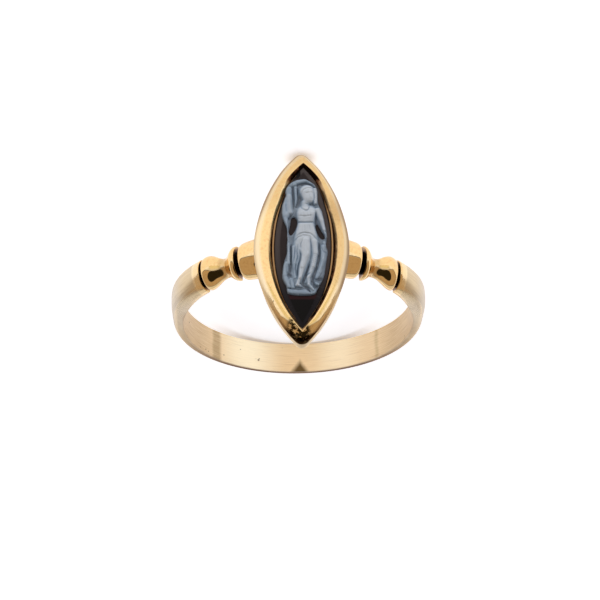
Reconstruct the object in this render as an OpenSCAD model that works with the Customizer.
// Cameo ring: a gold band with turned shoulders and a navette bezel round a two-layer cameo.
// The ring is drawn in the finger's frame (hoop axis on Z, head on +Y), then laid on its side.
// Origin: the centre of the finger bore.

/* [Band] */
// Inside diameter of the band, the finger size
bore_d = 17.3; // [16.5:0.1:18.5]
// Thickness of the band at the crown of its domed face, halfway between head and back
band_t = 0.85; // [0.75:0.05:1]
// How far the outside circle is moved towards the head, so the back is thinner
band_offset = 0.22; // [0.1:0.02:0.3]
// Width of the band along the finger
band_w = 2.3; // [2:0.1:2.6]
// Height of the dome across the band's outside
band_dome = 0.2; // [0.1:0.02:0.3]
// Diameter of the round swelling where the band runs into a shoulder
swell_d = 2.42; // [2.3:0.02:2.6]
// Height of the swelling's crown above the bore, at the end rims
swell_rise = 1.5; // [1.3:0.05:1.7]

/* [Shoulders] */
// Height of the turned shoulders' centre line above the bore
shoulder_rise = 0.5; // [0.4:0.05:0.6]
// Angle from the head to the band's end rim, measured at the bore's centre
rim_angle = 51; // [50:0.2:52]
// Angle from the head to the bead's centre
bead_angle = 46.4; // [45.6:0.2:47.2]
// Angle from the head to the thinnest point of the neck
neck_angle = 37.8; // [37:0.2:39]
// Angle from the head to the flange's rim
flange_angle = 29.8; // [29:0.2:30.6]
// Diameter of the bead
bead_d = 2.58; // [2.5:0.02:2.7]
// Diameter of the neck
neck_d = 1.48; // [1.4:0.02:1.6]
// Diameter of the flange
flange_d = 2.6; // [2.5:0.02:2.8]
// Diameter of the collar at its bezel end
collar_d = 2.94; // [2.8:0.02:3.1]
// Width of the two turned grooves
groove_w = 0.28; // [0.2:0.02:0.34]
// Diameter of the metal left at the bottom of the two grooves
groove_core_d = 1.7; // [1.5:0.1:1.9]
// Slope of the turned rims and of the collar
turn_slope = 24; // [20:1:28]

/* [Bezel] */
// Length of the bezel, tip to tip
bezel_l = 15.5; // [14.8:0.1:16.2]
// How far the bezel's side curves would run on past each blunted tip
bezel_blunt = 0.31; // [0.25:0.01:0.4]
// Height of the bezel's underside above the bore
bezel_rise = 0.65; // [0.55:0.05:0.8]
// Height of the frame's outer top edge above the bezel's underside
frame_edge_h = 1.1; // [0.9:0.05:1.2]
// Height of the frame's crest above the bezel's underside
frame_crest_h = 1.55; // [1.5:0.05:1.7]
// Width of the frame's rounded face, from its outer wall to its crest
frame_round_w = 0.85; // [0.75:0.05:0.95]
// Inward taper of the outer wall, from its top down to the underside
wall_taper = 0.15; // [0.05:0.05:0.25]
// Length of solid frame at each tip, beyond its opening
frame_tip_l = 0.8; // [0.7:0.02:0.9]
// Width of the bevel round the frame's opening
opening_bevel_w = 0.2; // [0.16:0.01:0.24]
// Thickness of the closed back
back_t = 0.45; // [0.35:0.05:0.55]

/* [Cameo] */
// How far each tip of the stone stays inside the frame's opening
stone_tip_gap = 0.2; // [0.16:0.01:0.24]
// Width of the stone
stone_w = 4.16; // [4:0.02:4.4]
// Thickness of the dark layer, from the seat to its table
stone_t = 1.02; // [0.9:0.02:1.1]
// Width of the bevel round the table
stone_bevel_w = 0.42; // [0.3:0.02:0.5]
// Depth of the bevel below the table
stone_bevel_h = 0.18; // [0.12:0.02:0.24]
// Gap all round between the stone and the bezel
stone_gap = 0.03; // [0.02:0.01:0.04]
// Thickness of the thin lip round the stone
lip_t = 0.16; // [0.12:0.01:0.2]
// Height of the lip above the stone's straight side
lip_h = 0.06; // [0.04:0.01:0.08]
// Width of the narrow groove outside the lip, halfway along the stone
lip_groove_w = 0.15; // [0.12:0.01:0.2]
// Depth of that groove
lip_groove_h = 0.2; // [0.1:0.02:0.3]
// Height of the tallest part of the relief above the table
relief_h = 0.46; // [0.3:0.02:0.6]

/* [Hidden] */
$fn = 160;
gold = [0.86, 0.68, 0.36];
dark_stone = [0.09, 0.07, 0.07];
pale_stone = [0.66, 0.72, 0.78];

// A small amount by which a cutting tool passes the face that it cuts
over = 0.5;

bore_r = bore_d / 2;
band_outer_r = bore_r + band_t;
neck_r = neck_d / 2;
neck_ball_r = 1.03 * neck_r;
bead_r = bead_d / 2;
collar_r = collar_d / 2;
flange_r = flange_d / 2;
core_r = groove_core_d / 2;
swell_r = swell_d / 2;

// Places on the shoulder's centre line, in the hoop's plane, on the right-hand side
shoulder_r = bore_r + shoulder_rise;
function on_hoop(angle) = shoulder_r * [sin(angle), cos(angle)];
rim_at = on_hoop(rim_angle);
bead_at = on_hoop(bead_angle);
neck_at = on_hoop(neck_angle);
flange_at = on_hoop(flange_angle);
function slope_of(from, to) = atan2(from[1] - to[1], to[0] - from[0]);

// The swelling's centre line runs from the end rim into the band, where it sinks away
swell_crown_r = bore_r + swell_rise;
swell_line_r = swell_crown_r - swell_r;
swell_offset = 0.95;
swell_to = 104;

// Thickness of the band's end rim, and how far it stands out round the swelling
end_rim_t = 0.16;
end_rim_out = 0.04;

// The flange's rim and the rounding of the collar's edge at the groove
flange_t = 0.2;
collar_round = 0.5;
collar_l = 2.4;

// The bezel's height levels, all measured along +Y from the bore's centre
bezel_base_y = bore_r + bezel_rise;
frame_edge_y = bezel_base_y + frame_edge_h;
frame_crest_y = bezel_base_y + frame_crest_h;
seat_y = bezel_base_y + back_t;
table_y = seat_y + stone_t;
girdle_y = table_y - stone_bevel_h;
lip_y = girdle_y + lip_h;

// A navette is where two equal discs cross: its curve radius and how far each disc is moved
function navette_r(l, w) = (l * l + w * w) / (4 * w);
function navette_shift(l, w) = navette_r(l, w) - w / 2;

// The frame's opening, the stone and the bezel's outside, each a navette of its own
opening_l = bezel_l - 2 * frame_tip_l;
opening_w = stone_w + 2 * (stone_gap + lip_t + lip_groove_w + opening_bevel_w);
opening_r = navette_r(opening_l, opening_w);
opening_shift = navette_shift(opening_l, opening_w);
stone_l = opening_l - 2 * stone_tip_gap;
stone_r = navette_r(stone_l, stone_w);
stone_shift = navette_shift(stone_l, stone_w);
bezel_w = opening_w + 2 * frame_round_w;
sharp_l = bezel_l + 2 * bezel_blunt;
bezel_curve_r = navette_r(sharp_l, bezel_w);
bezel_shift = navette_shift(sharp_l, bezel_w);

// The ring lies on the bezel's tip and on the edge of the band at its back
back_r = band_outer_r - band_offset - band_dome;
rest_tilt = atan((bezel_l / 2 - band_w / 2) / (bezel_base_y + back_r));

// The carved layer is drawn on a stone of this length and width, and follows the stone's size
drawn_l = 13.5;
drawn_w = 4.16;
along_scale = stone_l / drawn_l;
across_scale = stone_w / drawn_w;

// The carved layer's outline on the stone: height above the stone's middle, left and right edge
Y = 0;
LEFT = 1;
RIGHT = 2;
relief_outline = [
    [-3.95, -0.6, 0.5],
    [-3.7, -1.1, 0.95],
    [-3.3, -1.42, 1.3],
    [-2.8, -1.5, 1.55],
    [-2.0, -1.45, 1.62],
    [-1.0, -1.35, 1.75],
    [0.0, -1.2, 1.88],
    [0.7, -1.15, 1.96],
    [1.2, -1.2, 1.88],
    [1.8, -1.38, 1.7],
    [2.4, -1.5, 1.58],
    [3.0, -1.52, 1.4],
    [3.3, -1.5, 1.15],
    [3.9, -1.38, 1.08],
    [4.5, -1.22, 1.08],
    [4.9, -1.0, 0.98],
    [5.3, -0.5, 0.66],
    [5.5, 0.0, 0.3]
];

// The rounded forms of the figure: each swells from one end to the other.
// Columns: x, y and radius at the first end, the same at the second end, height as a share
X1 = 0;
Y1 = 1;
R1 = 2;
X2 = 3;
Y2 = 4;
R2 = 5;
SHARE = 6;
head_forms = [
    [0.48, 4.35, 0.6, 0.5, 4.1, 0.55, 0.85],
    [0.42, 4.72, 0.5, 0.3, 4.4, 0.48, 0.8],
    [0.38, 3.6, 0.33, 0.38, 3.1, 0.38, 0.6]
];
body_forms = [
    [-0.28, 2.95, 0.28, 1.08, 2.95, 0.28, 0.65],
    [0.15, 2.65, 0.5, 0.62, 2.65, 0.5, 0.95],
    [0.38, 2.5, 0.6, 0.28, 1.95, 0.52, 0.85],
    [0.28, 1.9, 0.54, 0.28, 0.95, 0.86, 0.8],
    [0.3, 0.9, 0.86, 0.4, -2.1, 0.62, 0.55]
];
limb_forms = [
    [0.15, 0.6, 0.46, 0.05, -0.9, 0.4, 1.0],
    [0.05, -0.9, 0.38, -0.24, -2.5, 0.2, 0.9],
    [-0.26, -2.65, 0.2, -0.48, -3.0, 0.2, 0.6],
    [0.82, 0.5, 0.44, 0.66, -2.0, 0.36, 0.8],
    [0.5, -2.5, 0.22, 0.78, -3.2, 0.2, 0.6],
    [1.14, 2.9, 0.27, 1.42, 1.75, 0.23, 0.7],
    [1.42, 1.75, 0.22, 1.74, 0.9, 0.17, 0.6]
];
drapery_forms = [
    [1.68, 0.7, 0.25, 1.18, -2.8, 0.42, 0.45],
    [-0.62, 2.9, 0.3, -1.1, 3.5, 0.3, 0.5],
    [-1.0, 4.2, 0.36, -1.1, 2.1, 0.36, 0.45],
    [-1.1, 2.0, 0.28, -0.95, 0.9, 0.22, 0.4],
    [-0.92, 0.5, 0.26, -1.08, -2.8, 0.42, 0.42],
    [-0.8, 4.7, 0.3, -0.05, 5.2, 0.26, 0.35],
    [-0.05, 5.2, 0.26, 0.75, 4.95, 0.22, 0.3],
    [-0.63, 5.0, 0.09, -0.63, 2.1, 0.09, 0.5],
    [-1.05, -3.4, 0.34, 0.85, -3.4, 0.34, 0.35]
];
figure_forms = concat(head_forms, body_forms, limb_forms, drapery_forms);

// Thinnest part of the carved layer, and the grid that it is carved on
relief_film = 0.06;
relief_rows = 68;
relief_cols = 24;

function relief_edge(y, column) =
    across_scale * lookup(y / along_scale, [for (row = relief_outline) [row[Y], row[column]]]);

function form_height(form, point) =
    let (
        start = [form[X1], form[Y1]],
        along = [form[X2], form[Y2]] - start,
        share_along = max(0, min(1, ((point - start) * along) / (along * along))),
        radius = form[R1] + (form[R2] - form[R1]) * share_along,
        away = norm(point - start - share_along * along) / radius
    )
    away < 1 ? form[SHARE] * sqrt(1 - away * away) : 0;

function carved_height(point) =
    let (drawn = [point[0] / across_scale, point[1] / along_scale])
    relief_film + (relief_h - relief_film) * max([for (form = figure_forms) form_height(form, drawn)]);

// How far a point lies inside the stone's outline, and how deep the bevel is there
function inside_stone(point) = stone_r - norm([abs(point[0]) + stone_shift, point[1]]);
function bevel_depth(point) =
    stone_bevel_h * max(0, 1 - inside_stone(point) / stone_bevel_w);
function table_half_w(y) =
    sqrt(pow(stone_r - stone_bevel_w, 2) - y * y) - stone_shift;

module lay_down() rotate([rest_tilt, 0, 0]) children();

// From the cameo's own frame, with the figure upright on +Y, to the finger's frame
module on_head() rotate([-90, 0, 0]) children();

module both_sides() {
    children();
    mirror([1, 0, 0]) children();
}

// Two equal solids of revolution that cross: a solid with a navette outline
module navette(shift) {
    intersection() {
        translate([shift, 0, 0]) rotate_extrude() children();
        translate([-shift, 0, 0]) rotate_extrude() children();
    }
}

module bore() cylinder(r = bore_r, h = bezel_l, center = true);

// The D-section of the band: flat sides, a domed outside
module band_section() {
    dome_r = (band_w * band_w / 4 + band_dome * band_dome) / (2 * band_dome);
    intersection() {
        translate([band_outer_r / 2, -band_w / 2]) square([band_outer_r, band_w]);
        translate([band_outer_r - dome_r, 0]) circle(r = dome_r);
    }
}

module band() {
    difference() {
        translate([0, band_offset, 0]) rotate_extrude() band_section();
        band_opening();
    }
}

// The band stops at its end rims, which face the beads
module band_opening() {
    reach = 1.4;
    top = 2 * bezel_base_y;
    linear_extrude(height = 2 * band_w, center = true)
        polygon([
            [0, 0],
            reach * rim_at,
            [rim_at[0], top],
            [-rim_at[0], top],
            [-reach * rim_at[0], reach * rim_at[1]]
        ]);
}

// The round swelling that carries the band into the shoulder
module swelling() {
    difference() {
        translate([0, swell_offset, 0])
            rotate([0, 0, 90 - swell_to])
                rotate_extrude(angle = swell_to - bead_angle)
                    translate([swell_line_r - swell_offset * cos(rim_angle), 0]) circle(r = swell_r);
        on_turning(rim_at) mirror([0, 0, 1]) cylinder(r = bead_d, h = bead_d);
    }
}

// Puts a turned piece, drawn along +Z, at a place on the shoulder, with +Z away from the head
module on_turning(at, slope = turn_slope)
    translate([at[0], at[1], 0]) rotate([0, 0, -slope]) rotate([0, 90, 0]) children();

// The band's end rim, and the core that joins it to the bead
module end_rim() {
    on_turning(rim_at) {
        cylinder(r = swell_r + end_rim_out, h = end_rim_t);
        translate([0, 0, -bead_r]) cylinder(r = core_r, h = bead_r);
    }
}

// The bead: a ball cut flat at the groove, with a hollow throat down to the neck
module bead() {
    intersection() {
        translate([bead_at[0], bead_at[1], 0]) sphere(r = bead_r);
        on_turning(rim_at) translate([0, 0, -2 * bead_d - groove_w]) cylinder(r = bead_d, h = 2 * bead_d);
    }
    on_turning(neck_at, slope_of(neck_at, bead_at)) throat(norm(bead_at - neck_at), bead_r);
}

// A solid of revolution with a hollow side, from the neck up to a wider end of radius end_r
module throat(l, end_r) {
    hollow_r = 0.8 * l;
    end_share = 0.88;
    rotate_extrude()
        difference() {
            square([end_share * end_r, l]);
            translate([neck_r + hollow_r, 0]) circle(r = hollow_r);
            translate([neck_r + hollow_r, -hollow_r]) square(hollow_r);
        }
}

// The trumpet-shaped flange, the core of its groove, and the neck behind it
module flange() {
    on_turning(flange_at) {
        rotate_extrude() flange_section();
        translate([0, 0, -groove_w - collar_round]) cylinder(r = core_r, h = groove_w + collar_round + flange_t);
    }
    on_turning(neck_at, slope_of(flange_at, neck_at))
        mirror([0, 0, 1]) cylinder(r = neck_r, h = norm(flange_at - neck_at));
    translate([neck_at[0], neck_at[1], 0]) sphere(r = neck_ball_r);
}

module flange_section() {
    flare = flange_r - neck_r;
    difference() {
        square([flange_r, flange_t + flare]);
        translate([flange_r, flange_t + flare]) circle(r = flare);
    }
}

// The collar: a short cylinder with a rounded edge at the groove, which runs into the bezel
module collar() {
    on_turning(flange_at)
        mirror([0, 0, 1]) translate([0, 0, groove_w]) rotate_extrude() collar_section();
}

module collar_section() {
    round_at = [collar_r - collar_round, collar_round];
    square([round_at[0], collar_l]);
    translate([0, round_at[1]]) square([collar_r, collar_l - round_at[1]]);
    intersection() {
        translate(round_at) circle(r = collar_round);
        square([collar_r, collar_l]);
    }
}

module shoulder() {
    end_rim();
    bead();
    flange();
    collar();
    swelling();
}

// Section of the bezel's outside: tapered wall, then the rounded face up to the crest
module bezel_section() {
    face_r = (pow(frame_round_w, 2) + pow(frame_crest_h - frame_edge_h, 2))
        / (2 * (frame_crest_h - frame_edge_h));
    intersection() {
        polygon([
            [0, bezel_base_y],
            [bezel_curve_r - wall_taper, bezel_base_y],
            [bezel_curve_r, frame_edge_y],
            [bezel_curve_r, frame_crest_y],
            [0, frame_crest_y]
        ]);
        union() {
            translate([bezel_curve_r - frame_round_w, frame_crest_y - face_r]) circle(r = face_r);
            square([bezel_curve_r - frame_round_w, frame_crest_y]);
        }
    }
}

// Section of the stone's pocket, from its seat up to the lip
module pocket_section() {
    translate([0, seat_y]) square([stone_r + stone_gap, lip_y - seat_y + over / 10]);
}

// Section of the frame's opening: from the lip's level out along the bevel to the crest
module opening_section() {
    polygon([
        [0, lip_y],
        [opening_r - opening_bevel_w, lip_y],
        [opening_r, frame_crest_y],
        [opening_r, frame_crest_y + over],
        [0, frame_crest_y + over]
    ]);
}

// The narrow groove between the lip and the frame's bevel
module lip_groove() {
    difference() {
        navette(opening_shift)
            translate([0, lip_y - lip_groove_h]) square([opening_r - opening_bevel_w, lip_groove_h + over]);
        navette(stone_shift)
            square([stone_r + stone_gap + lip_t, frame_crest_y + 2 * over]);
    }
}

module bezel_outside() {
    intersection() {
        navette(bezel_shift) bezel_section();
        cylinder(d = bezel_l, h = 2 * frame_crest_y);
    }
}

// Section of the dark layer: straight side, bevel and table
module stone_section() {
    polygon([
        [0, seat_y],
        [stone_r, seat_y],
        [stone_r, girdle_y],
        [stone_r - stone_bevel_w, table_y],
        [0, table_y]
    ]);
}

module gold_ring() {
    color(gold) lay_down() difference() {
        union() {
            band();
            both_sides() shoulder();
            on_head() bezel_outside();
        }
        bore();
        on_head() navette(stone_shift) pocket_section();
        on_head() navette(opening_shift) opening_section();
        on_head() lip_groove();
    }
}

module cameo_ground() {
    color(dark_stone) lay_down() on_head() navette(stone_shift) stone_section();
}

// The carved layer: a grid of heights on top, flat below where it lies on the table.
// Where it passes the table's edge it follows the bevel, a hair above it.
module relief_solid() {
    bevel_gap = 0.02;
    edge_step = 0.01;
    low = along_scale * relief_outline[0][Y];
    high = along_scale * relief_outline[len(relief_outline) - 1][Y];
    function row_y(i) = low + (high - low) * i / (relief_rows - 1);
    function top_x(i, j) =
        let (left = relief_edge(row_y(i), LEFT), right = relief_edge(row_y(i), RIGHT))
        left + (right - left) * (1 - cos(180 * j / (relief_cols - 1))) / 2;
    function top_z(i, j) =
        j == 0 || j == relief_cols - 1 || i == 0 || i == relief_rows - 1
            ? relief_film
            : carved_height([top_x(i, j), row_y(i)]);
    function under_x(i) =
        let (
            left = relief_edge(row_y(i), LEFT),
            right = relief_edge(row_y(i), RIGHT),
            edge = table_half_w(row_y(i))
        )
        [left, max(left + edge_step, -edge), min(right - edge_step, edge), right];
    function under_z(x, y) =
        let (depth = bevel_depth([x, y]))
        depth > edge_step ? bevel_gap - depth : 0;
    top_points = [
        for (i = [0:relief_rows - 1], j = [0:relief_cols - 1]) [top_x(i, j), row_y(i), top_z(i, j)]
    ];
    under_points = [
        for (i = [0:relief_rows - 1], x = under_x(i)) [x, row_y(i), under_z(x, row_y(i))]
    ];
    under_cols = 4;
    first_under = len(top_points);
    function top(i, j) = i * relief_cols + j;
    function under(i, j) = first_under + i * under_cols + j;
    last_row = relief_rows - 1;
    last_top = relief_cols - 1;
    last_under = under_cols - 1;
    top_faces = [
        for (i = [0:last_row - 1], j = [0:last_top - 1])
            [top(i, j), top(i + 1, j), top(i + 1, j + 1), top(i, j + 1)]
    ];
    under_faces = [
        for (i = [0:last_row - 1], j = [0:last_under - 1])
            [under(i, j), under(i, j + 1), under(i + 1, j + 1), under(i + 1, j)]
    ];
    side_faces = [
        for (i = [0:last_row - 1])
            each [
                [top(i, 0), under(i, 0), under(i + 1, 0), top(i + 1, 0)],
                [top(i, last_top), top(i + 1, last_top), under(i + 1, last_under), under(i, last_under)]
            ]
    ];
    // An end face: a fan over the top row, then one over the row below it
    function end_face(i) = concat(
        [for (j = [0:last_top - 1]) [top(i, j), top(i, j + 1), under(i, 0)]],
        [for (j = [0:last_under - 1]) [top(i, last_top), under(i, j + 1), under(i, j)]]
    );
    function turned(face) = [face[0], face[2], face[1]];
    end_faces = concat(end_face(0), [for (face = end_face(last_row)) turned(face)]);
    polyhedron(
        points = concat(top_points, under_points),
        faces = concat(top_faces, under_faces, side_faces, end_faces),
        convexity = 6
    );
}

module cameo_relief() {
    color(pale_stone) lay_down() on_head() translate([0, 0, table_y]) relief_solid();
}

gold_ring();
cameo_ground();
cameo_relief();
